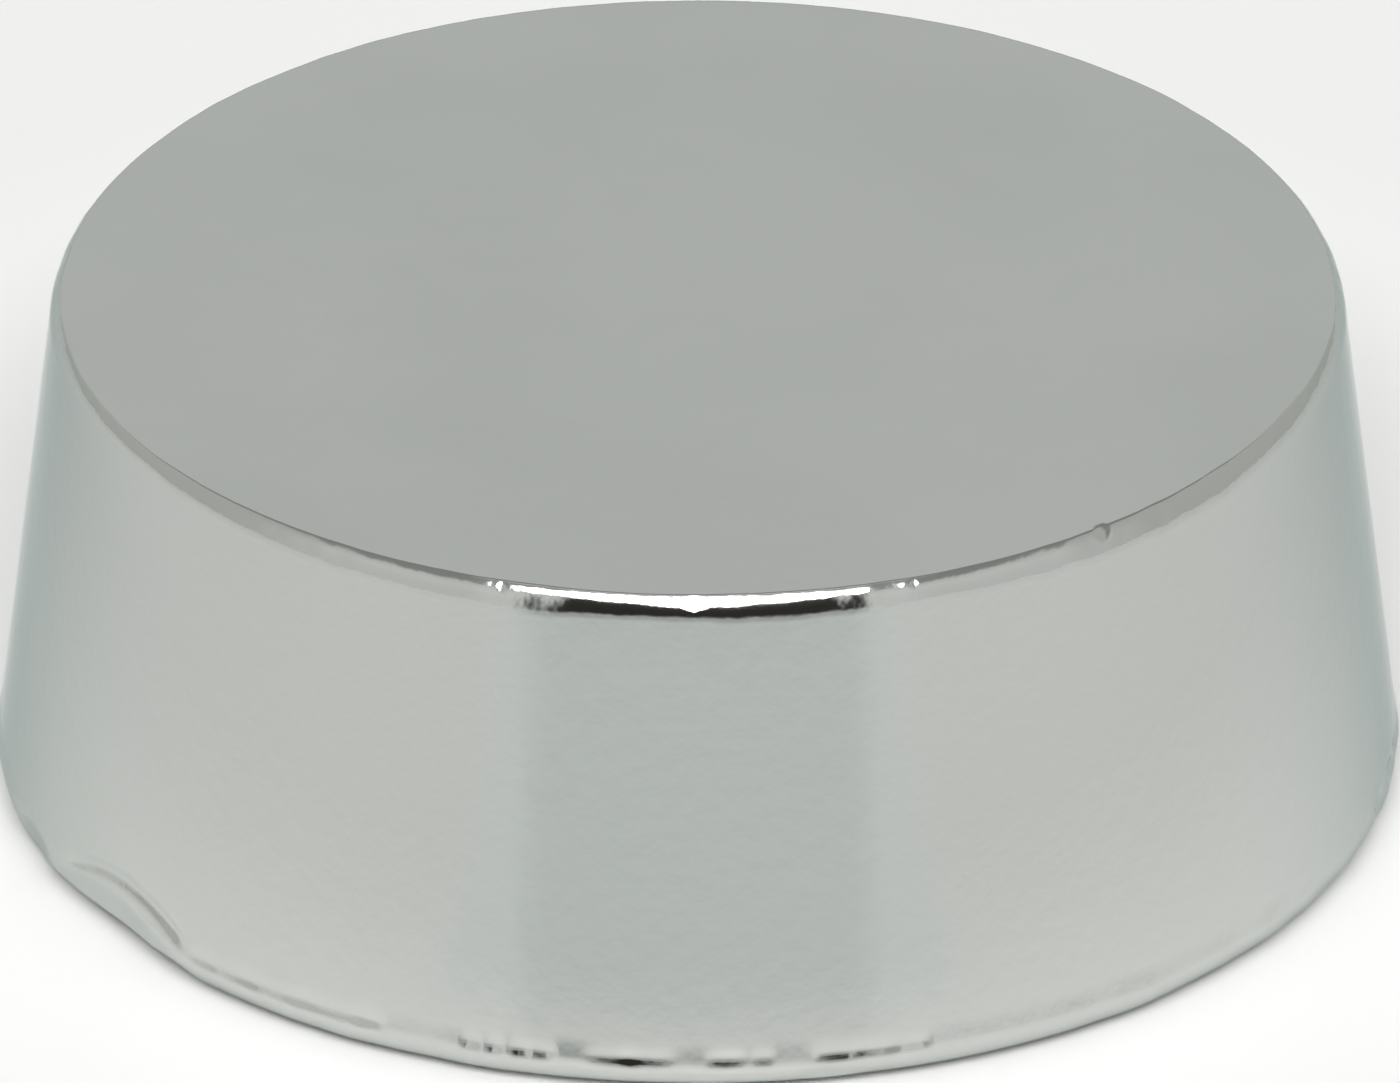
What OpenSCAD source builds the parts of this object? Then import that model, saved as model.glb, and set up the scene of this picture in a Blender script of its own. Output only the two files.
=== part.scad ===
// Weighted dealer button: a plated die-cast cap over a steel ballast slug, closed from below by a
// screwed base plate and a felt pad. Millimetres, +Z up, origin at the centre of the felt's underside.

/* [Cap] */
// Diameter over the widest point, just above the rim
cap_d = 50.8; // [44:0.1:60]
// Height of the metal cap, from its rim to its top face
cap_h = 18.7; // [15:0.1:24]
// Lean of the side from the vertical, in degrees
draft = 7; // [3:0.5:9]
// Wall thickness of the side and the top
wall = 2.4; // [2:0.1:3]
// Rounding between the side and the top face
top_edge_r = 0.7; // [0.2:0.1:1.2]
// Rounding between the side and the rim
rim_edge_r = 1; // [0.4:0.1:1.2]
// Gap between the cap's rim and the table
rim_gap = 0.2; // [0.1:0.05:0.5]

/* [Base] */
// Thickness of the felt pad
felt_t = 1; // [0.8:0.1:1.5]
// Thickness of the adhesive film that holds the felt
film_t = 0.15; // [0.05:0.05:0.3]
// Thickness of the steel base plate
plate_t = 1.5; // [1.4:0.1:2]
// Width of the rim outside the recess that takes the base plate
rim_w = 2; // [1.8:0.1:2.4]

/* [Ballast] */
// Gap between the ballast slug and the cap's wall at the ceiling
ballast_gap = 0.7; // [0.4:0.1:2]
// Thickness of the foam disc pressed between the slug and the ceiling
foam_t = 0.8; // [0.5:0.1:1.5]

/* [Fasteners] */
// Number of screws and of the cap's bosses
screw_count = 3; // [3:1:5]
// Distance of the screw axes from the cap's wall, measured at the ceiling
screw_inset = 3.5; // [3.3:0.1:6]
// Outside diameter of the screw's thread
screw_d = 2.5; // [2:0.1:2.6]
// Length of the screw, with its flush head
screw_l = 6; // [5:0.5:8]
// Diameter of the screw's countersunk head
head_d = 4.7; // [4.2:0.1:4.7]

/* [Hidden] */
$fn = 144;
eps = 0.01; // a cutter's overrun past the face it opens

// Levels above the table
rim_z = rim_gap;
top_z = rim_z + cap_h;
ceiling_z = top_z - wall;
film_z = felt_t;
plate_z = film_z + film_t;
ledge_z = plate_z + plate_t;
foam_z = ceiling_z - foam_t;

// Cap outline: the corner radii are those of the sharp corners, before rounding
side_lean = tan(draft);
rim_setback = corner_setback(rim_edge_r, 90 - draft);
top_setback = corner_setback(top_edge_r, 90 + draft);
rim_corner_r = cap_d / 2 + rim_setback - rim_edge_r;
recess_r = cap_d / 2 - rim_w;
ceiling_fillet_r = 1;
ceiling_setback = corner_setback(ceiling_fillet_r, 90 + draft);

// Bosses, their ribs and the screw holes in them
screw_circle_r = cavity_r(ceiling_z) - screw_inset;
boss_r = 2.7;
boss_root_r = 3;
rib_w = 1.6;
rib_rise = 1; // how far the rib stops short of the boss's tip
thread_gap = 0.02;
hole_extra = 1; // depth of the blind hole past the screw's tip

// Ballast slug and foam disc
boss_gap = 0.4;
slot_w = 4.4;
slug_r = cavity_r(ceiling_z) - ballast_gap;
slug_chamfer = 0.5;
foam_inset = 0.8;

// Base plate, film and felt
plate_gap = 0.1;
plate_edge = 0.2;
felt_gap = 0.3;
film_inset = 0.2;
clear_hole_r = screw_d / 2 + 0.1;

// Screws
head_land = 0.12;
head_sink = 0.05;
seat_gap = 0.04;
tip_chamfer = 0.4;
recess_depth = 0.9;
recess_reach = 1.3;
recess_w = 0.55;

// Distance from a sharp corner to where a rounding of radius r leaves each of its two sides
function corner_setback(r, corner) = r / tan(corner / 2);

// Radius of the cap's outer side at a height, as if its edges were sharp
function side_r(z) = rim_corner_r - (z - rim_z) * side_lean;

// Radius of the cavity's wall at a height
function cavity_r(z) = side_r(z) - wall / cos(draft);

// Puts its children at each screw's axis, with +X pointing outwards
module at_screws() {
    for (i = [0 : screw_count - 1])
        rotate([0, 0, 90 + i * 360 / screw_count])
            translate([screw_circle_r, 0, 0])
                children();
}

// Half section of the whole cap before it is hollowed: X is the radius, Y the height
module cap_outline() {
    side = [side_lean, -1] * cos(draft); // runs down the side
    rim_corner = [side_r(rim_z), rim_z];
    top_corner = [side_r(top_z), top_z];
    polygon([
        [0, rim_z],
        rim_corner - [rim_setback, 0],
        rim_corner - rim_setback * side,
        top_corner + top_setback * side,
        top_corner - [top_setback, 0],
        [0, top_z],
    ]);
    translate(rim_corner + [-rim_setback, rim_edge_r])
        circle(rim_edge_r);
    translate(top_corner - [top_setback, top_edge_r])
        circle(top_edge_r);
}

// Half section of the recess for the base plate and of the cavity above it, filleted at the ceiling
module hollow_outline() {
    side = [side_lean, -1] * cos(draft);
    corner = [cavity_r(ceiling_z), ceiling_z];
    polygon([
        [0, rim_z - eps],
        [recess_r, rim_z - eps],
        [recess_r, ledge_z],
        [cavity_r(ledge_z), ledge_z],
        corner + ceiling_setback * side,
        corner - [ceiling_setback, 0],
        [0, ceiling_z],
    ]);
    translate(corner - [ceiling_setback, ceiling_fillet_r])
        circle(ceiling_fillet_r);
}

// A screw boss that hangs from the ceiling and the rib that ties it to the wall
module boss() {
    boss_h = ceiling_z - ledge_z + eps;
    translate([0, 0, ledge_z])
        cylinder(h = boss_h, r1 = boss_r, r2 = boss_root_r);
    translate([0, -rib_w / 2, ledge_z + rib_rise])
        cube([cap_d / 2 - screw_circle_r, rib_w, boss_h - rib_rise]);
}

// Room for a boss and its rib in a part that fits round them
module boss_slot(z, h) {
    translate([0, 0, z]) {
        cylinder(h = h, r = boss_root_r + boss_gap);
        translate([0, -slot_w / 2, 0])
            cube([cap_d / 2 - screw_circle_r, slot_w, h]);
    }
}

module cap() {
    hole_h = plate_z + screw_l + hole_extra - ledge_z;
    color([0.74, 0.75, 0.73])
        difference() {
            rotate_extrude()
                cap_outline();
            difference() {
                rotate_extrude()
                    hollow_outline();
                at_screws()
                    boss();
            }
            at_screws()
                translate([0, 0, ledge_z - eps])
                    cylinder(h = hole_h + eps, r = screw_d / 2);
        }
}

module ballast_slug() {
    color([0.42, 0.43, 0.45])
        difference() {
            rotate_extrude()
                polygon([
                    [0, ledge_z],
                    [slug_r - slug_chamfer, ledge_z],
                    [slug_r, ledge_z + slug_chamfer],
                    [slug_r, foam_z - slug_chamfer],
                    [slug_r - slug_chamfer, foam_z],
                    [0, foam_z],
                ]);
            at_screws()
                boss_slot(ledge_z - eps, foam_z - ledge_z + 2 * eps);
        }
}

module foam_disc() {
    color([0.16, 0.16, 0.17])
        difference() {
            translate([0, 0, foam_z])
                cylinder(h = foam_t, r = slug_r - foam_inset);
            at_screws()
                boss_slot(foam_z - eps, foam_t + 2 * eps);
        }
}

module base_plate() {
    plate_r = recess_r - plate_gap;
    seat_r = head_d / 2 + seat_gap;
    seat_h = seat_r - clear_hole_r; // the seat's sides stand at 45 degrees
    color([0.62, 0.63, 0.64])
        difference() {
            rotate_extrude()
                polygon([
                    [0, plate_z],
                    [plate_r - plate_edge, plate_z],
                    [plate_r, plate_z + plate_edge],
                    [plate_r, ledge_z],
                    [0, ledge_z],
                ]);
            at_screws()
                translate([0, 0, plate_z]) {
                    translate([0, 0, -eps])
                        cylinder(h = plate_t + 2 * eps, r = clear_hole_r);
                    translate([0, 0, -eps])
                        cylinder(h = head_sink + head_land + eps, r = seat_r);
                    translate([0, 0, head_sink + head_land])
                        cylinder(h = seat_h, r1 = seat_r, r2 = clear_hole_r);
                }
        }
}

// One countersunk screw, head down, with a cross recess in the head
module screw() {
    shank_r = screw_d / 2 - thread_gap;
    head_r = head_d / 2;
    head_z = plate_z + head_sink;
    cone_z = head_z + head_land;
    tip_z = plate_z + screw_l;
    difference() {
        rotate_extrude()
            polygon([
                [0, head_z],
                [head_r, head_z],
                [head_r, cone_z],
                [shank_r, cone_z + head_r - shank_r],
                [shank_r, tip_z - tip_chamfer],
                [shank_r - tip_chamfer, tip_z],
                [0, tip_z],
            ]);
        intersection() {
            translate([0, 0, head_z - eps])
                cylinder(h = recess_depth + eps, r1 = recess_reach, r2 = recess_w);
            translate([0, 0, head_z - eps])
                for (turn = [0, 90])
                    rotate([0, 0, turn])
                        translate([-recess_reach, -recess_w / 2, 0])
                            cube([2 * recess_reach, recess_w, recess_depth + eps]);
        }
    }
}

module base_screws() {
    color([0.55, 0.55, 0.56])
        at_screws()
            screw();
}

module pad_adhesive() {
    color([0.86, 0.84, 0.78])
        translate([0, 0, film_z])
            cylinder(h = film_t, r = recess_r - felt_gap - film_inset);
}

module felt_pad() {
    color([0.09, 0.10, 0.11])
        cylinder(h = felt_t, r = recess_r - felt_gap);
}

cap();
ballast_slug();
foam_disc();
base_plate();
base_screws();
pad_adhesive();
felt_pad();
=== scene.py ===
"""Looks of a weighted, plated dealer button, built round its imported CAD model. Lengths are in metres."""

import math

import bmesh
import bpy
import numpy as np
from mathutils import Matrix, Vector


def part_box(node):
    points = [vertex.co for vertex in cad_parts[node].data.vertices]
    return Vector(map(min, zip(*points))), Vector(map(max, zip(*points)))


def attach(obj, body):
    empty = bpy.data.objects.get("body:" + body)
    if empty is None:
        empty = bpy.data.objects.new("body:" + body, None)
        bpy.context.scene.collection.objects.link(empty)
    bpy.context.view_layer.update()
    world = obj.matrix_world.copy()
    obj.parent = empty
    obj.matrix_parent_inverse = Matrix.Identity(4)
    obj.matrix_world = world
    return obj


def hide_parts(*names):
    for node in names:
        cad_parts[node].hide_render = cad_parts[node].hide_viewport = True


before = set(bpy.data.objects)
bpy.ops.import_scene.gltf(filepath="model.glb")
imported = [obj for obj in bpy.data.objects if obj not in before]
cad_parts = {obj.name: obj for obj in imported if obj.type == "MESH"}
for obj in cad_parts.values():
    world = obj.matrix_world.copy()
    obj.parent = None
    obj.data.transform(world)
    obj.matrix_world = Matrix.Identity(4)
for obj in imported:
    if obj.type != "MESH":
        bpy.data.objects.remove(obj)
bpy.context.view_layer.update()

MM = 0.001
BODY = "root"

# Places that the frame gives
CAP_LOW, CAP_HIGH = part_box("cap")
FOAM_LOW, FOAM_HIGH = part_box("foam_disc")
SCREWS_LOW, SCREWS_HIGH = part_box("base_screws")
PLATE_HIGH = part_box("base_plate")[1]
FELT_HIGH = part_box("felt_pad")[1]
RIM_Z = CAP_LOW.z
TOP_Z = CAP_HIGH.z
CAP_R = CAP_HIGH.x
CEILING_Z = FOAM_HIGH.z
WALL = TOP_Z - CEILING_Z

# Shape of the cap that the frame doesn't state
LEAN = math.radians(7)  # of the side from the vertical
RIM_ROUND = 1.1 * MM
TOP_ROUND = 1.63 * MM
TOP_CREASE = math.radians(45.5)  # the tilt at which the ground top face cuts off its rounded edge
SIDE_SETBACK = 0.09 * MM  # of the side, behind the crest of the parting-line bead at its foot
BEAD_TOP = 1.15 * MM  # the height of the bead over the rim
BEAD_WEAR = 0.05 * MM
BEAD_ZONE = 3.0 * MM  # the height of the worn foot of the side, from the rim
RIM_CORNER = math.radians(90) - LEAN  # the angle between the side and the rim's underside
RIM_CORNER_R = CAP_R + RIM_ROUND / math.tan(RIM_CORNER / 2) - RIM_ROUND

# Shape of the inner pieces that the frame doesn't state
SCREW_TURNS = (90, 210, 330)  # degrees from +X round to each screw
HEAD_R = 2.35 * MM
THREAD_R = 1.23 * MM
SCREW_CIRCLE_R = SCREWS_HIGH.y - HEAD_R
SLOT_R = 3.4 * MM  # of the room for a boss in the foam
SLOT_W = 4.4 * MM


# ---------------------------------------------------------------- meshes

def add_object(name, mesh):
    """Links a new object that holds the mesh."""
    piece = bpy.data.objects.new(name, mesh)
    bpy.context.scene.collection.objects.link(piece)
    return piece


def mesh_from(name, points, faces):
    mesh = bpy.data.meshes.new(name)
    mesh.from_pydata([tuple(p) for p in points], [], faces)
    mesh.validate()
    mesh.update()
    return mesh


def turned_faces(rows, columns):
    """Faces of a closed grid of rows round the Z axis, with a centre point under it and one over it."""
    faces = []
    below, above = rows * columns, rows * columns + 1
    for j in range(columns):
        k = (j + 1) % columns
        faces.append((below, k, j))
        for i in range(rows - 1):
            here, over = i * columns, (i + 1) * columns
            faces.append((here + j, here + k, over + k, over + j))
        last = (rows - 1) * columns
        faces.append((last + j, last + k, above))
    return faces


def turned_mesh(name, radius, height, angles):
    """A closed mesh from grids of radii and heights, one row for each step up the outline."""
    x = radius * np.sin(angles)
    y = -radius * np.cos(angles)
    points = np.stack([x, y, height], axis=-1).reshape(-1, 3)
    ends = [(0, 0, float(height[0].mean())), (0, 0, float(height[-1].mean()))]
    points = np.vstack([points, ends])
    return mesh_from(name, points, turned_faces(*radius.shape))


def plain_turned(name, outline, columns):
    """A closed mesh turned from a few (radius, height) corners."""
    angles = np.arange(columns) * 2 * math.pi / columns
    radius = np.array([[r] * columns for r, _ in outline])
    height = np.array([[z] * columns for _, z in outline])
    return turned_mesh(name, radius, height, angles)


def cut(piece, cutter):
    """Takes the cutter's shape out of the piece, for good, and removes the cutter."""
    knife = piece.modifiers.new("cut", "BOOLEAN")
    knife.operation = "DIFFERENCE"
    knife.solver = "EXACT"
    knife.object = cutter
    apply_modifiers(piece)
    bpy.data.objects.remove(cutter)


def apply_modifiers(piece):
    graph = bpy.context.evaluated_depsgraph_get()
    done = bpy.data.meshes.new_from_object(piece.evaluated_get(graph), depsgraph=graph)
    piece.modifiers.clear()
    piece.data = done


def shade(piece, sharp_degrees=35):
    """Smooth shading with sharp edges where the surface turns by more than the angle."""
    piece.data.shade_smooth()
    piece.data.set_sharp_from_angle(angle=math.radians(sharp_degrees))


def wave(angles, rng, first, last, fall):
    """A ragged closed wave round the button, mostly between -1 and 1, of first to last swings a turn."""
    total = np.zeros_like(angles)
    power = 0.0
    for swings in range(first, last + 1):
        share = swings ** -fall
        total += share * np.sin(swings * angles + rng.uniform(0, 2 * math.pi))
        power += share ** 2
    return total / math.sqrt(2 * power)


def smooth_step(low, high, value):
    t = np.clip((value - low) / (high - low), 0, 1)
    return t * t * (3 - 2 * t)


# ---------------------------------------------------------------- cap

COLUMNS = 1120
CROWDING = 0.45  # how much closer together the columns stand at the front than on average
RIM_RINGS = (22.6 * MM, 23.2 * MM, 23.8 * MM)  # radii of the rows on the rim's underside
FACE_RINGS = (0.002, 0.01, 0.03, 0.08, 0.16, 0.28, 0.45, 0.65, 0.85)  # shares of the way to the middle
ZONE_LOW = 1.35 * MM  # the height over the rim where the evenly spaced rows of the foot start
SLACK = 0.01 * MM  # for comparing heights

# Forms of a cut across its width
ROUND_CUT = 2.0
V_CUT = 1.0

# Wear is listed in degrees and mm, and its angles run from the front round to the right.

# Cuts in the top edge: (angle, half width, depth, tilt from the vertical, form)
TOP_NICKS = [
    (-0.3, 0.65, 0.03, 57.5, V_CUT),
    (-17.4, 0.22, 0.015, 55, ROUND_CUT),
    (19.2, 0.22, 0.015, 55, ROUND_CUT),
    (38.5, 0.45, 0.05, 50, ROUND_CUT),
]

# Cuts in the foot of the side: (angle, half width, depth, tilt below the horizon, form)
FOOT_CHIPS = [
    (-56.8, 4.1, 0.30, 9, ROUND_CUT),
    (-56.8, 3.7, 0.27, 42, ROUND_CUT),
    (-70.2, 1.9, 0.20, 12, ROUND_CUT),
    (76.0, 1.3, 0.10, 4, ROUND_CUT),
    (10.5, 0.9, 0.06, 30, ROUND_CUT),
]

# Dents at the top of the bead: (angle, half width, depth)
DENT_MIDDLE = 1.33 * MM
DENT_HALF_HEIGHT = 0.31 * MM
DENTS = [
    (-44.0, 0.7, 0.09),
    (-40.6, 1.2, 0.06),
    (-36.5, 1.9, 0.07),
    (-31.5, 1.8, 0.075),
    (-27.4, 0.6, 0.095),
    (-18.4, 0.40, 0.07),
    (-16.5, 0.35, 0.08),
    (-14.4, 0.40, 0.095),
    (-12.6, 0.45, 0.08),
    (-7.0, 0.9, 0.075),
    (-4.0, 0.9, 0.079),
    (2.3, 0.7, 0.085),
    (5.2, 0.4, 0.075),
    (11.2, 0.9, 0.085),
    (14.6, 0.9, 0.085),
    (17.8, 0.5, 0.065),
    (75.5, 0.5, 0.09),
    (81.5, 0.8, 0.12),
    (84.5, 0.5, 0.10),
]

# The bowed groove over the largest chip
GROOVE_TURN = -54.8  # degrees from the front
GROOVE_REACH = 9.0  # degrees to either side
GROOVE_CREST = 2.6 * MM  # the height of its middle over the rim
GROOVE_SAG = 1.15 * MM  # how much lower its ends are
GROOVE_HALF_WIDTH = 0.28 * MM
GROOVE_DEPTH = 0.105 * MM


def side_r(height):
    """Radius of the cap's side at a height, as if its edges were sharp."""
    return RIM_CORNER_R - (height - RIM_Z) * math.tan(LEAN)


def turn_from(angles, degrees):
    """Signed angle of each column from the one that stands degrees from the front."""
    return (angles - math.radians(degrees) + math.pi) % (2 * math.pi) - math.pi


def rim_rows(size, steps):
    """Rows round the rim's edge, from its underside to the side. Size is the rounding's radius."""
    rows = []
    centre_r = RIM_CORNER_R - size / math.tan(RIM_CORNER / 2)
    centre_z = RIM_Z + size
    for tilt in np.linspace(-math.pi / 2, LEAN, steps):
        rows.append((centre_r + size * math.cos(tilt), centre_z + size * math.sin(tilt)))
    return rows


def top_rows(size, steps):
    """Rows over the top edge, from the side to the crease where the ground top face cuts it off."""
    rows = []
    centre_z = TOP_Z - size * math.cos(TOP_CREASE)
    centre_r = side_r(centre_z) - size / math.cos(LEAN) - SIDE_SETBACK
    for tilt in np.linspace(math.pi / 2 - LEAN, TOP_CREASE, steps):
        rows.append((centre_r + size * math.sin(tilt), centre_z + size * math.cos(tilt)))
    return rows


def cap_outline(angles):
    """Radius and height grids of the cap's outside, from the underside of its rim to its top face."""
    rng = np.random.RandomState(11)
    one = np.ones_like(angles)
    soft_right = np.exp(-(turn_from(angles, 50) / math.radians(17)) ** 2)
    tight_left = np.exp(-(turn_from(angles, -62) / math.radians(20)) ** 2)
    top_size = TOP_ROUND * (
        1 + 0.05 * wave(angles, rng, 2, 9, 0.6) + 0.07 * wave(angles, rng, 12, 110, 0.9)
        + 0.12 * soft_right - 0.27 * tight_left
    )
    rim_size = RIM_ROUND * (1 + 0.05 * wave(angles, rng, 3, 40, 0.6))
    foot = rim_rows(rim_size, 18)
    edge = top_rows(top_size, 22)
    rows = [(r * one, RIM_Z * one) for r in RIM_RINGS] + foot
    bead_zone = RIM_Z + BEAD_ZONE
    for z in np.linspace(RIM_Z + ZONE_LOW, bead_zone, 19):
        rows.append((side_r(z) * one, z * one))
    for t in np.linspace(0, 1, 9)[1:-1]:
        z = bead_zone + (edge[0][1] - bead_zone) * t
        rows.append((side_r(z) - SIDE_SETBACK, z))
    rows += edge
    edge_r = edge[-1][0]
    for t in FACE_RINGS:
        rows.append((edge_r * (1 - t), TOP_Z * one))
    return np.array([r for r, _ in rows]), np.array([z for _, z in rows])


def bead_depth(radius, height, angles):
    """How far the side's foot is pressed in, behind the crest of the parting-line bead."""
    rng = np.random.RandomState(23)
    over_rim = height - RIM_Z
    bead_top = BEAD_TOP + 0.10 * MM * wave(angles, rng, 5, 60, 0.5)
    worn = BEAD_WEAR * np.clip(0.5 + 0.6 * wave(angles, rng, 4, 70, 0.4), 0, 1)
    over_bead = smooth_step(bead_top - 0.3 * MM, bead_top + 0.8 * MM, over_rim)
    depth = SIDE_SETBACK * over_bead + worn * (1 - over_bead)
    for turn, half, deep in DENTS:
        along = radius * turn_from(angles, turn) / (half * MM)
        up = (over_rim - DENT_MIDDLE) / DENT_HALF_HEIGHT
        depth = depth + deep * MM * np.exp(-along ** 4 - up ** 2)
    return depth


def groove_depth(height, angles):
    """How far the side is pressed in along the groove over the largest chip."""
    along = np.degrees(turn_from(angles, GROOVE_TURN)) / GROOVE_REACH
    up = (height - RIM_Z - (GROOVE_CREST - GROOVE_SAG * along ** 2)) / GROOVE_HALF_WIDTH
    return GROOVE_DEPTH * np.exp(-up ** 2) * (1 - smooth_step(0.8, 1.0, np.abs(along)))


def shave(radius, height, angles, facet):
    """Cuts a shallow facet into the outline, deepest at the middle of its width."""
    turn, half, deep, tilt, form = facet
    across, upward = math.sin(math.radians(tilt)), math.cos(math.radians(tilt))
    reach = (radius * across + height * upward).max(axis=0)
    away = np.abs(reach * turn_from(angles, turn)) / (half * MM)
    loss = deep * MM * (1 - away ** form)
    over = np.maximum(radius * across + height * upward - (reach - loss), 0) * (loss > 0)
    return radius - over * across, height - over * upward


def build_cap():
    """The whole cap: its worn outside round the hollow of the CAD cap."""
    steps = np.linspace(-math.pi, math.pi, COLUMNS + 1)[:-1]
    angles = steps - CROWDING * np.sin(steps)
    radius, height = cap_outline(angles)
    foot = (height < RIM_Z + BEAD_ZONE + 0.1 * MM) & (height > RIM_Z + 1e-7)
    radius = radius - bead_depth(radius, height, angles[None, :]) * foot
    for facet in TOP_NICKS:
        radius, height = shave(radius, height, angles, facet)
    for turn, half, deep, tilt, form in FOOT_CHIPS:
        radius, height = shave(radius, height, angles, (turn, half, deep, 90 + tilt, form))
    radius = radius - groove_depth(height, angles[None, :]) * foot
    cap = add_object("cap_shell", turned_mesh("cap_shell", radius, height, angles))
    cut(cap, hollow())
    cap.data.materials.clear()
    cap.data.materials.append(plating())
    cap.data.materials.append(raw_plating())
    for face in cap.data.polygons:
        place = face.center
        within = place.xy.length < side_r(place.z) - WALL / 2
        face.material_index = int(within and RIM_Z + SLACK < place.z < CEILING_Z + SLACK)
    shade(cap, 28)
    return cap


def hollow():
    """The space inside the CAD cap, with its bosses and screw holes left out of it."""
    middle = WALL / 2
    inner_r = side_r(TOP_Z) - middle
    mouth_r = PLATE_HIGH.x + 0.5 * MM
    plug = add_object("plug", plain_turned("plug", [
        (mouth_r, RIM_Z - 1 * MM),
        (mouth_r, RIM_Z + 1 * MM),
        (inner_r, CEILING_Z),
        (inner_r, CEILING_Z + middle),
    ], 180))
    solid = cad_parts["cap"].data.copy()
    work = bmesh.new()
    work.from_mesh(solid)
    bmesh.ops.remove_doubles(work, verts=work.verts, dist=1e-7)
    work.to_mesh(solid)
    work.free()
    cut(plug, add_object("solid", solid))
    return plug


# ---------------------------------------------------------------- felt, foam and screws

def build_felt():
    """A die-cut felt disc: a fibrous face, a softly rounded, slightly ragged edge."""
    rng = np.random.RandomState(31)
    angles = np.arange(360) * 2 * math.pi / 360
    one = np.ones_like(angles)
    thick = FELT_HIGH.z - 0.01 * MM
    edge_round = 0.2 * MM
    ring_r = np.linspace(0.8 * MM, FELT_HIGH.x - edge_round, 34)
    rows = []
    for r in ring_r:
        rows.append((r * one, 0.015 * MM * (1 + 0.8 * wave(angles, rng, 5, 110, 0.2))))
    ragged = 0.03 * MM * (1 + wave(angles, rng, 8, 150, 0.2))
    for tilt in np.linspace(-1.2, 1.2, 9):
        r = FELT_HIGH.x - edge_round * (1 - math.cos(tilt)) - ragged * math.cos(tilt)
        rows.append((r, thick * (0.5 + 0.5 * math.sin(tilt)) * one))
    for r in ring_r[::-3]:
        rows.append((r * one, thick * one))
    radius = np.array([np.clip(r, 0, FELT_HIGH.x) for r, _ in rows])
    height = np.array([np.clip(z, 0, thick) for _, z in rows])
    felt = add_object("felt_disc", turned_mesh("felt_disc", radius, height, angles))
    shade(felt, 60)
    return felt


def boss_room(turn, low_z, high_z):
    """The keyhole-shaped room round a boss and its rib, as a closed cutter."""
    outline = []
    mouth = math.asin(SLOT_W / 2 / SLOT_R)
    for a in np.linspace(mouth, 2 * math.pi - mouth, 40):
        outline.append((SLOT_R * math.cos(a), SLOT_R * math.sin(a)))
    outline += [(CAP_R - SCREW_CIRCLE_R, -SLOT_W / 2), (CAP_R - SCREW_CIRCLE_R, SLOT_W / 2)]
    count = len(outline)
    c, s = math.cos(math.radians(turn)), math.sin(math.radians(turn))
    points = []
    for z in (low_z, high_z):
        for x, y in outline:
            out = x + SCREW_CIRCLE_R
            points.append((out * c - y * s, out * s + y * c, z))
    faces = [tuple(reversed(range(count))), tuple(range(count, 2 * count))]
    for i in range(count):
        k = (i + 1) % count
        faces.append((i, k, count + k, count + i))
    return add_object("boss_room", mesh_from("boss_room", points, faces))


def build_foam():
    """The foam disc, squeezed between the slug and the ceiling so that its edge bulges."""
    rng = np.random.RandomState(37)
    angles = np.arange(300) * 2 * math.pi / 300
    one = np.ones_like(angles)
    low_z, high_z = FOAM_LOW.z, FOAM_HIGH.z
    half = (high_z - low_z) / 2
    pull = 0.25 * MM  # how far the edge draws in at the faces
    rows = []
    for r in np.linspace(1 * MM, FOAM_HIGH.y - pull, 24):
        rows.append((r * one, low_z + 0.012 * MM * (1 + wave(angles, rng, 6, 90, 0.2))))
    for tilt in np.linspace(-1.35, 1.35, 11):
        ragged = 0.02 * MM * (1 + wave(angles, rng, 9, 120, 0.2))
        r = FOAM_HIGH.y - pull * (1 - math.cos(tilt)) - ragged
        rows.append((r, (low_z + half + half * math.sin(tilt)) * one))
    for r in np.linspace(FOAM_HIGH.y - pull, 1 * MM, 24):
        rows.append((r * one, high_z - 0.012 * MM * (1 + wave(angles, rng, 6, 90, 0.2))))
    radius = np.array([r for r, _ in rows])
    height = np.array([z for _, z in rows])
    foam = add_object("foam_cushion", turned_mesh("foam_cushion", radius, height, angles))
    for turn in SCREW_TURNS:
        cut(foam, boss_room(turn, low_z - 1 * MM, high_z + 1 * MM))
    shade(foam, 50)
    return foam


# Details of the screws
PITCH = 0.45 * MM
THREAD_DEPTH = 0.26 * MM
HEAD_LAND = 0.12 * MM
RECESS_DEPTH = 0.9 * MM
RECESS_REACH = 1.3 * MM
RECESS_HALF_W = 0.275 * MM


def screw_rows(angles):
    """Rows up one screw, from its countersunk head's face to its tip, with the thread round the shank."""
    one = np.ones_like(angles)
    face_z, tip_z = SCREWS_LOW.z, SCREWS_HIGH.z
    cone_z = face_z + HEAD_LAND
    neck_z = cone_z + HEAD_R - THREAD_R
    rows = [
        (1.5 * MM * one, face_z * one),
        ((HEAD_R - 0.06 * MM) * one, face_z * one),
        ((HEAD_R - 0.015 * MM) * one, (face_z + 0.02 * MM) * one),
        (HEAD_R * one, (face_z + 0.05 * MM) * one),
        (HEAD_R * one, cone_z * one),
    ]
    for t in np.linspace(0.1, 0.95, 5):
        rows.append(((HEAD_R + (THREAD_R - HEAD_R) * t) * one, (cone_z + (neck_z - cone_z) * t) * one))
    steps = int((tip_z - neck_z) / PITCH * 9)
    for z in np.linspace(neck_z, tip_z, steps):
        phase = (z / PITCH - angles / (2 * math.pi)) % 1.0
        flank = np.clip(1 - np.abs(phase - 0.5) * 2.6, 0, 1)
        run_in = smooth_step(neck_z, neck_z + PITCH, z)
        run_out = 1 - smooth_step(tip_z - PITCH, tip_z, z)
        root = THREAD_R - THREAD_DEPTH - 0.25 * MM * smooth_step(tip_z - 0.6 * MM, tip_z, z)
        rows.append((root + THREAD_DEPTH * flank * run_in * run_out, z * one))
    return rows


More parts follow.
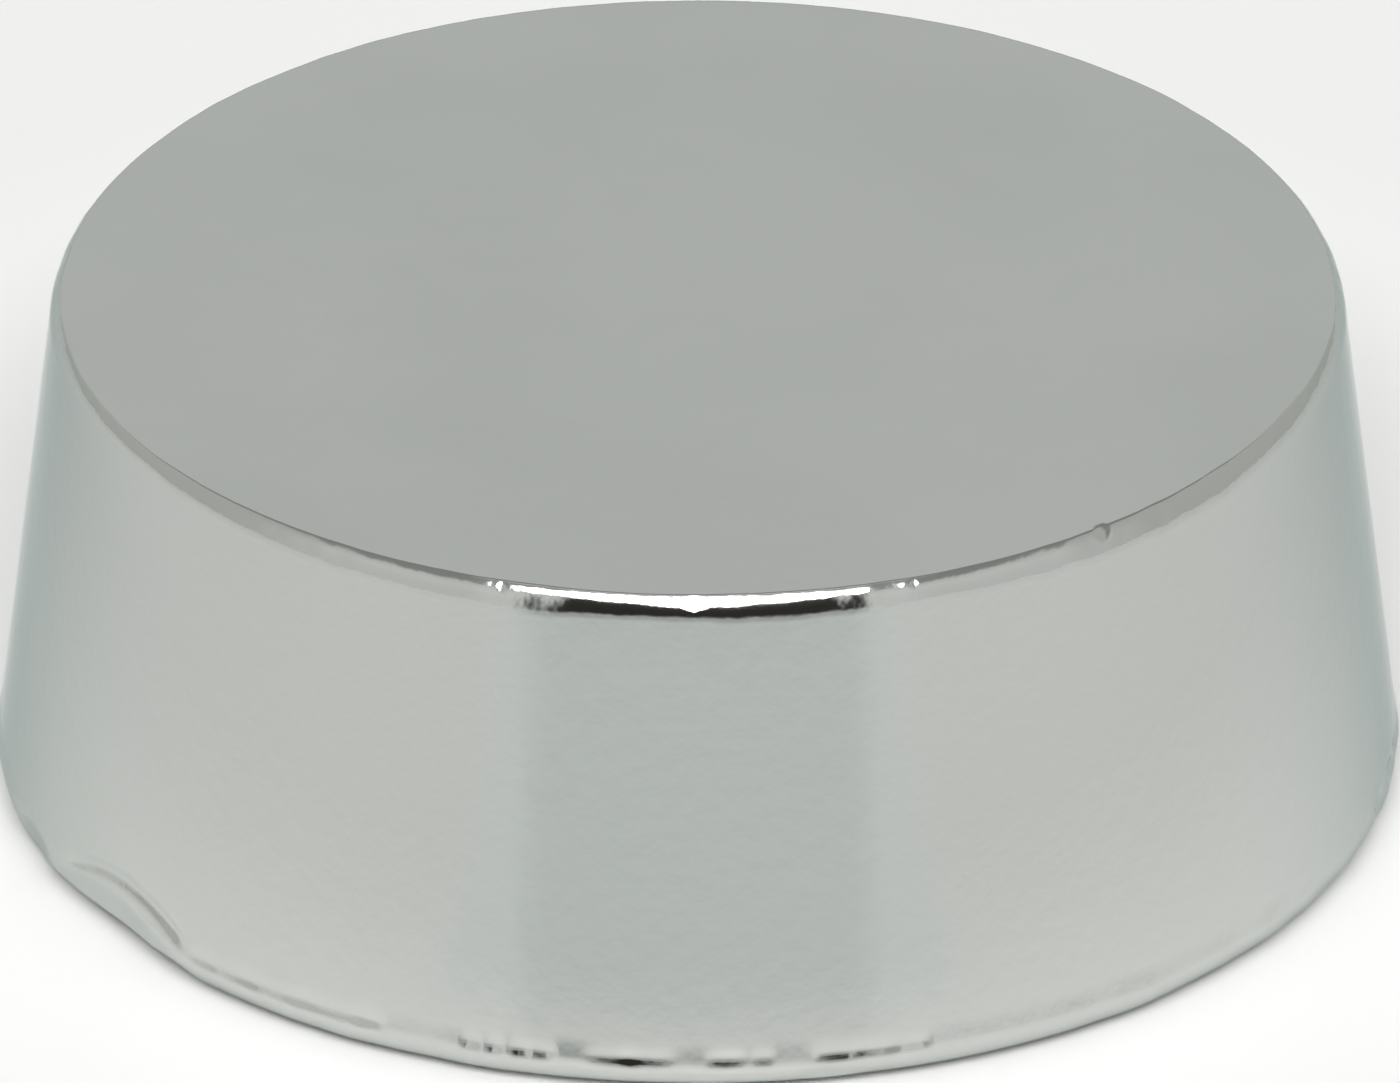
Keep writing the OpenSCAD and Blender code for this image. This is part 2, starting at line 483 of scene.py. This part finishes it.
def cross_blade(along_x):
    """One tapered bar of the cross recess."""
    low_z, deep_z = SCREWS_LOW.z - 0.1 * MM, SCREWS_LOW.z + RECESS_DEPTH
    points = []
    for z, reach, half_w in ((low_z, RECESS_REACH, RECESS_HALF_W), (deep_z, 0.55 * MM, 0.2 * MM)):
        for x, y in ((-reach, -half_w), (reach, -half_w), (reach, half_w), (-reach, half_w)):
            points.append((x, y, z) if along_x else (-y, x, z))
    faces = [(3, 2, 1, 0), (4, 5, 6, 7), (0, 1, 5, 4), (1, 2, 6, 5), (2, 3, 7, 6), (3, 0, 4, 7)]
    return add_object("blade", mesh_from("blade", points, faces))


def build_screws():
    """The three base screws, as separate solids in one mesh."""
    angles = np.arange(48) * 2 * math.pi / 48
    rows = screw_rows(angles)
    radius = np.array([r for r, _ in rows])
    height = np.array([z for _, z in rows])
    one_screw = add_object("one_screw", turned_mesh("one_screw", radius, height, angles))
    for along_x in (True, False):
        cut(one_screw, cross_blade(along_x))
    group = bmesh.new()
    for turn in SCREW_TURNS:
        placed = one_screw.data.copy()
        across = Matrix.Translation((SCREW_CIRCLE_R, 0, 0)) @ Matrix.Rotation(math.radians(turn), 4, "Z")
        placed.transform(Matrix.Rotation(math.radians(turn), 4, "Z") @ across)
        group.from_mesh(placed)
    mesh = bpy.data.meshes.new("threaded_screws")
    group.to_mesh(mesh)
    group.free()
    bpy.data.objects.remove(one_screw)
    screws = add_object("threaded_screws", mesh)
    shade(screws, 40)
    return screws


# ---------------------------------------------------------------- materials

class Shader:
    """A material's or world's nodes, added one at a time."""

    def __init__(self, tree):
        self.tree = tree
        self.tree.nodes.clear()

    def node(self, kind, inputs=None, **settings):
        made = self.tree.nodes.new(kind)
        for name, value in settings.items():
            setattr(made, name, value)
        for name, value in (inputs or {}).items():
            self.give(made.inputs[name], value)
        return made

    def give(self, socket, value):
        if isinstance(value, bpy.types.NodeSocket):
            self.tree.links.new(value, socket)
        else:
            socket.default_value = value

    def math(self, operation, *values):
        return self.node("ShaderNodeMath", dict(enumerate(values)), operation=operation).outputs[0]

    def between(self, value, low, high, to_low=0.0, to_high=1.0):
        """value's smooth step from to_low at low to to_high at high."""
        step = self.node("ShaderNodeMapRange", {
            "Value": value,
            "From Min": low,
            "From Max": high,
            "To Min": to_low,
            "To Max": to_high,
        }, interpolation_type="SMOOTHSTEP")
        return step.outputs["Result"]

    def noise(self, where, scale, detail=2.0, roughness=0.5):
        made = self.node("ShaderNodeTexNoise", {
            "Vector": where,
            "Scale": scale,
            "Detail": detail,
            "Roughness": roughness,
        })
        return made.outputs["Fac"]

    def mix(self, share, colour, other):
        """colour, with share of other in it."""
        return self.node("ShaderNodeMix", {0: share, 6: colour, 7: other}, data_type="RGBA").outputs[2]

    def ramp(self, value, *stops):
        """A colour ramp through (position, colour) stops."""
        made = self.node("ShaderNodeValToRGB", {"Fac": value})
        ramp = made.color_ramp
        while len(ramp.elements) < len(stops):
            ramp.elements.new(0.5)
        for element, (place, colour) in zip(ramp.elements, stops):
            element.position = place
            element.color = (*colour, 1)
        return made.outputs["Color"]

    def bump(self, height, distance, normal=None):
        inputs = {"Height": height, "Distance": distance, "Strength": 1.0}
        if normal is not None:
            inputs["Normal"] = normal
        return self.node("ShaderNodeBump", inputs).outputs["Normal"]


def material(name):
    made = bpy.data.materials.new(name)
    made.use_nodes = True
    return made, Shader(made.node_tree)


def finish_material(shader, **inputs):
    body = shader.node("ShaderNodeBsdfPrincipled", {k.replace("_", " "): v for k, v in inputs.items()})
    shader.node("ShaderNodeOutputMaterial", {"Surface": body.outputs[0]})


def plating():
    """Bright nickel: nearly a mirror on the side, hazier on the top face, with an orange-peel ripple."""
    made, s = material("nickel_plating")
    where = s.node("ShaderNodeTexCoord").outputs["Object"]
    height = s.node("ShaderNodeSeparateXYZ", {0: where}).outputs["Z"]
    on_top = s.between(height, TOP_Z - 0.02 * MM, TOP_Z - 0.004 * MM)
    cloud = s.noise(where, 90, 3)
    peel = s.noise(where, 1300, 2, 0.55)
    swell = s.noise(where, 330, 1)
    side_rough = s.between(cloud, 0.35, 0.65, 0.055, 0.085)
    top_rough = s.between(cloud, 0.35, 0.65, 0.2, 0.24)
    rough = s.node("ShaderNodeMix", {0: on_top, 2: side_rough, 3: top_rough}, data_type="FLOAT").outputs[0]
    tint = s.ramp(s.noise(where, 60, 4), (0.3, (0.566, 0.578, 0.560)), (0.7, (0.580, 0.590, 0.574)))
    relief = s.bump(peel, 1.3e-5)
    relief = s.bump(swell, 4.0e-6, relief)
    finish_material(
        s,
        Base_Color=tint,
        Metallic=1.0,
        Roughness=rough,
        Specular_Tint=(0.60, 0.655, 0.655, 1),
        Normal=relief,
    )
    return made


def raw_plating():
    """The dull, thinly plated casting skin inside the cap."""
    made, s = material("cap_inside")
    where = s.node("ShaderNodeTexCoord").outputs["Object"]
    grain = s.noise(where, 1800, 4, 0.6)
    tint = s.ramp(s.noise(where, 150, 3), (0.3, (0.36, 0.36, 0.35)), (0.7, (0.46, 0.46, 0.44)))
    rough = s.between(grain, 0.3, 0.7, 0.42, 0.6)
    finish_material(s, Base_Color=tint, Metallic=1.0, Roughness=rough, Normal=s.bump(grain, 8e-6))
    return made


def felt_cloth():
    """Dense charcoal felt: tangled fibres over a soft mottle."""
    made, s = material("felt_cloth")
    where = s.node("ShaderNodeTexCoord").outputs["Object"]
    fibres = s.node("ShaderNodeTexWave", {
        "Vector": where,
        "Scale": 900.0,
        "Distortion": 14.0,
        "Detail": 4.0,
        "Detail Scale": 2.5,
    }).outputs["Fac"]
    fuzz = s.noise(where, 5200, 5, 0.7)
    mottle = s.noise(where, 420, 3)
    tint = s.ramp(mottle, (0.3, (0.026, 0.030, 0.034)), (0.7, (0.052, 0.058, 0.064)))
    relief = s.bump(fibres, 3e-5, s.bump(fuzz, 6e-5))
    finish_material(
        s,
        Base_Color=tint,
        Roughness=0.95,
        Sheen_Weight=0.35,
        Sheen_Roughness=0.5,
        Normal=relief,
    )
    return made


def foam_rubber():
    """Dark open-cell foam: pores of two sizes, with painted shade darkening the hollows of the larger
    pores.
    """
    made, s = material("foam_rubber")
    where = s.node("ShaderNodeTexCoord").outputs["Object"]
    cells = s.node("ShaderNodeTexVoronoi", {"Vector": where, "Scale": 2600.0}).outputs["Distance"]
    pores = s.node("ShaderNodeTexVoronoi", {"Vector": where, "Scale": 1100.0}).outputs["Distance"]
    # Painted shade: the colour darkens into the hollow of each larger pore, where the bump sinks the
    # surface.
    tint = s.ramp(pores, (0.15, (0.02, 0.02, 0.022)), (0.55, (0.085, 0.085, 0.09)))
    relief = s.bump(cells, 4e-5, s.bump(pores, 9e-5))
    finish_material(s, Base_Color=tint, Roughness=0.92, Normal=relief)
    return made


LATHE_FEED = 0.16 * MM


def turned_steel():
    """Bar steel with the fine rings that a lathe leaves on its faces and its side."""
    made, s = material("turned_steel")
    where = s.node("ShaderNodeTexCoord").outputs["Object"]
    axes = s.node("ShaderNodeSeparateXYZ", {0: where})
    flat = s.node("ShaderNodeCombineXYZ", {0: axes.outputs["X"], 1: axes.outputs["Y"]}).outputs[0]
    from_axis = s.node("ShaderNodeVectorMath", {0: flat}, operation="LENGTH").outputs["Value"]
    travel = s.math("ADD", from_axis, axes.outputs["Z"])
    feed = s.math("SINE", s.math("MULTIPLY", travel, 2 * math.pi / LATHE_FEED))
    chatter = s.noise(where, 700, 4, 0.6)
    tint = s.ramp(s.noise(where, 120, 4), (0.3, (0.40, 0.40, 0.41)), (0.7, (0.53, 0.53, 0.54)))
    rough = s.between(chatter, 0.3, 0.7, 0.26, 0.42)
    relief = s.bump(feed, 4e-6, s.bump(chatter, 6e-6))
    finish_material(s, Base_Color=tint, Metallic=1.0, Roughness=rough, Normal=relief)
    return made


def zinc_plate():
    """Bluish zinc plating over pressed sheet steel."""
    made, s = material("zinc_plate")
    where = s.node("ShaderNodeTexCoord").outputs["Object"]
    stretched = s.node("ShaderNodeMapping", {"Vector": where, "Scale": (180.0, 2400.0, 2400.0)}).outputs[0]
    grain = s.noise(stretched, 1, 4, 0.6)
    tint = s.ramp(s.noise(where, 260, 3), (0.3, (0.53, 0.55, 0.58)), (0.7, (0.68, 0.69, 0.71)))
    rough = s.between(grain, 0.3, 0.7, 0.28, 0.46)
    finish_material(s, Base_Color=tint, Metallic=1.0, Roughness=rough, Normal=s.bump(grain, 5e-6))
    return made


def screw_steel():
    """Cold-headed, zinc-flaked screw steel with tool marks."""
    made, s = material("screw_steel")
    where = s.node("ShaderNodeTexCoord").outputs["Object"]
    marks = s.noise(where, 2600, 4, 0.65)
    tint = s.ramp(s.noise(where, 900, 3), (0.3, (0.46, 0.46, 0.47)), (0.7, (0.62, 0.62, 0.63)))
    rough = s.between(marks, 0.3, 0.7, 0.24, 0.4)
    finish_material(s, Base_Color=tint, Metallic=1.0, Roughness=rough, Normal=s.bump(marks, 6e-6))
    return made


def adhesive_film():
    """Cream transfer adhesive with small trapped bubbles."""
    made, s = material("adhesive_film")
    where = s.node("ShaderNodeTexCoord").outputs["Object"]
    bubbles = s.node("ShaderNodeTexVoronoi", {"Vector": where, "Scale": 700.0}).outputs["Distance"]
    tint = s.ramp(s.noise(where, 300, 3), (0.3, (0.74, 0.70, 0.60)), (0.7, (0.83, 0.80, 0.71)))
    rough = s.between(bubbles, 0.1, 0.4, 0.5, 0.28)
    finish_material(s, Base_Color=tint, Roughness=rough, Normal=s.bump(bubbles, 8e-6))
    return made


def dress(node_name, made):
    """Gives a CAD node that stays its finished material."""
    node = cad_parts[node_name]
    for slot in node.material_slots:
        slot.material = made


# ---------------------------------------------------------------- stage

FLOOR_RADIUS = 2.6
# Painted light: the floor's grey is raised towards the button, a painted pool of the light that its plated
# side throws onto the sheet; the far grey is the sheet's own.
FLOOR_GREYS_WITH_PAINTED_LIGHT = ((0.28, 0.96), (0.37, 0.92), (0.44, 0.88), (0.54, 0.845))  # (distance in 100 mm, grey)
# Painted shade: a darker, cooler tone painted in a wedge of the floor in front of the button, where the
# tent is open for the camera.
PAINTED_SHADE_TONE = (0.822, 0.855, 0.86, 1)


def floor():
    """A pale sheet, painted whitest round the button's foot as a pool of the light that its plated side
    throws down, and painted darker and cooler in a wedge in front of it as shade where the tent is open for
    the camera.
    """
    made, s = material("floor")
    where = s.node("ShaderNodeTexCoord").outputs["Object"]
    from_middle = s.node("ShaderNodeVectorMath", {0: where}, operation="LENGTH").outputs["Value"]
    distance = s.math("MULTIPLY", from_middle, 1 / (100 * MM))
    axes = s.node("ShaderNodeSeparateXYZ", {0: where})
    front = s.math("MULTIPLY", axes.outputs["Y"], -1.0)
    turn = s.math("ABSOLUTE", s.math("DEGREES", s.math("ARCTAN2", axes.outputs["X"], front)))
    # Painted shade: how much of the darker, cooler tone the front wedge gets.
    painted_shade_share = s.math("MULTIPLY", s.between(turn, 24.0, 32.0, 1.0, 0.0), s.between(distance, 0.3, 0.45))
    # Painted light: whiter near the button's foot.
    floor_greys_with_painted_light = s.ramp(distance, *[(place, (grey, grey, grey)) for place, grey in FLOOR_GREYS_WITH_PAINTED_LIGHT])
    tint = s.mix(painted_shade_share, floor_greys_with_painted_light, PAINTED_SHADE_TONE)
    finish_material(s, Base_Color=tint, Roughness=0.16, Specular_IOR_Level=0.05)
    disc = add_object("floor", plain_turned("floor", [(FLOOR_RADIUS, -2 * MM), (FLOOR_RADIUS, 0)], 96))
    disc.data.materials.append(made)


SIDE_WALL = (0.43, 0.44, 0.42, 1)
SOFT_LIGHT = (8.1, 8.1, 8.0, 1)
DARK_OPENING = (0.03, 0.028, 0.025, 1)
ROOM_STRENGTH = 1.27


def room():
    """A light tent: pale walls, a square soft light overhead and a dark opening in front for the camera."""
    world = bpy.data.worlds.new("tent")
    world.use_nodes = True
    bpy.context.scene.world = world
    s = Shader(world.node_tree)
    way = s.node("ShaderNodeTexCoord").outputs["Generated"]
    axes = s.node("ShaderNodeSeparateXYZ", {0: way})
    x, y, z = axes.outputs["X"], axes.outputs["Y"], axes.outputs["Z"]
    front = s.math("MULTIPLY", y, -1.0)
    rise = s.math("DEGREES", s.math("ARCSINE", z))
    turn = s.math("ABSOLUTE", s.math("DEGREES", s.math("ARCTAN2", x, front)))
    over = s.math("DEGREES", s.math("ARCTAN2", z, y))  # 0 at the back horizon, 90 overhead
    aside = s.math("ABSOLUTE", s.math("DEGREES", s.math("ARCSINE", x)))
    wall = s.ramp(
        s.math("DIVIDE", rise, 90.0),
        (0.0, (0.57, 0.58, 0.57)),
        (0.16, (0.58, 0.59, 0.575)),
        (0.315, (0.625, 0.63, 0.615)),
        (0.40, (0.57, 0.575, 0.56)),
        (0.46, (0.26, 0.265, 0.26)),
        (0.67, (0.24, 0.245, 0.24)),
    )
    at_side = s.math("MULTIPLY", s.between(turn, 60.0, 90.0), s.between(turn, 135.0, 155.0, 0.8, 0.0))
    at_side = s.math("MULTIPLY", at_side, s.between(rise, 36.0, 46.0, 1.0, 0.0))
    wall = s.mix(at_side, wall, SIDE_WALL)
    past_side = s.math("MULTIPLY_ADD", over, -0.2, aside)  # the light is wider where it is nearer
    past_front = s.math("MULTIPLY_ADD", aside, 0.7, over)  # its front edge bows towards the middle
    glow = s.between(over, 85.0, 108.0, 0.0, 0.06)
    glow = s.math("MULTIPLY", glow, s.between(past_side, -8.0, 8.0, 1.0, 0.0))
    glow = s.math("MULTIPLY", glow, s.between(over, 112.0, 119.0, 1.0, 0.2))
    soft_light = s.math(
        "MULTIPLY",
        s.math("MULTIPLY", s.between(over, 124.0, 128.0), s.between(past_front, 151.5, 154.5, 1.0, 0.0)),
        s.between(past_side, -2.5, -0.5, 1.0, 0.0),
    )
    soft_light = s.math("MAXIMUM", soft_light, glow)
    opening = s.math(
        "MULTIPLY",
        s.math("MULTIPLY", s.between(rise, 0.0, 6.0, 0.55, 1.0), s.between(past_front, 151.5, 154.5)),
        s.between(turn, 25.0, 31.0, 1.0, 0.0),
    )
    lit = s.mix(soft_light, wall, SOFT_LIGHT)
    tent = s.mix(opening, lit, DARK_OPENING)
    back = s.node("ShaderNodeBackground", {"Color": tent, "Strength": ROOM_STRENGTH})
    s.node("ShaderNodeOutputWorld", {"Surface": back.outputs[0]})


CAMERA_RISE = math.radians(28.45)
CAMERA_DISTANCE = 0.844
AIM_ASIDE = 0.07 * MM
AIM_DROP = 0.786 * MM  # of the picture's middle, below the cap's


def camera():
    """Stands far off with a long lens, and frames the cap from edge to edge."""
    back = Vector((0, -math.cos(CAMERA_RISE), math.sin(CAMERA_RISE)))
    up = Vector((0, math.sin(CAMERA_RISE), math.cos(CAMERA_RISE)))
    aim = Vector((AIM_ASIDE, 0, (RIM_Z + TOP_Z) / 2)) - up * AIM_DROP
    data = bpy.data.cameras.new("camera")
    data.sensor_width = 36
    data.lens = 601.8
    data.clip_start = 0.05
    data.clip_end = 6
    view = add_object("camera", data)
    view.location = aim + back * CAMERA_DISTANCE
    view.rotation_euler = (-back).to_track_quat("-Z", "Y").to_euler()
    bpy.context.scene.camera = view


# ---------------------------------------------------------------- the button

camera()
room()
floor()
bpy.context.scene.view_settings.view_transform = "Standard"

cap = build_cap()
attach(cap, BODY)
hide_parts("cap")

felt = build_felt()
felt.data.materials.append(felt_cloth())
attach(felt, BODY)
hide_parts("felt_pad")

foam = build_foam()
foam.data.materials.clear()
foam.data.materials.append(foam_rubber())
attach(foam, BODY)
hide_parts("foam_disc")

screws = build_screws()
screws.data.materials.clear()
screws.data.materials.append(screw_steel())
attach(screws, BODY)
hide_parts("base_screws")

dress("ballast_slug", turned_steel())
dress("base_plate", zinc_plate())
dress("pad_adhesive", adhesive_film())
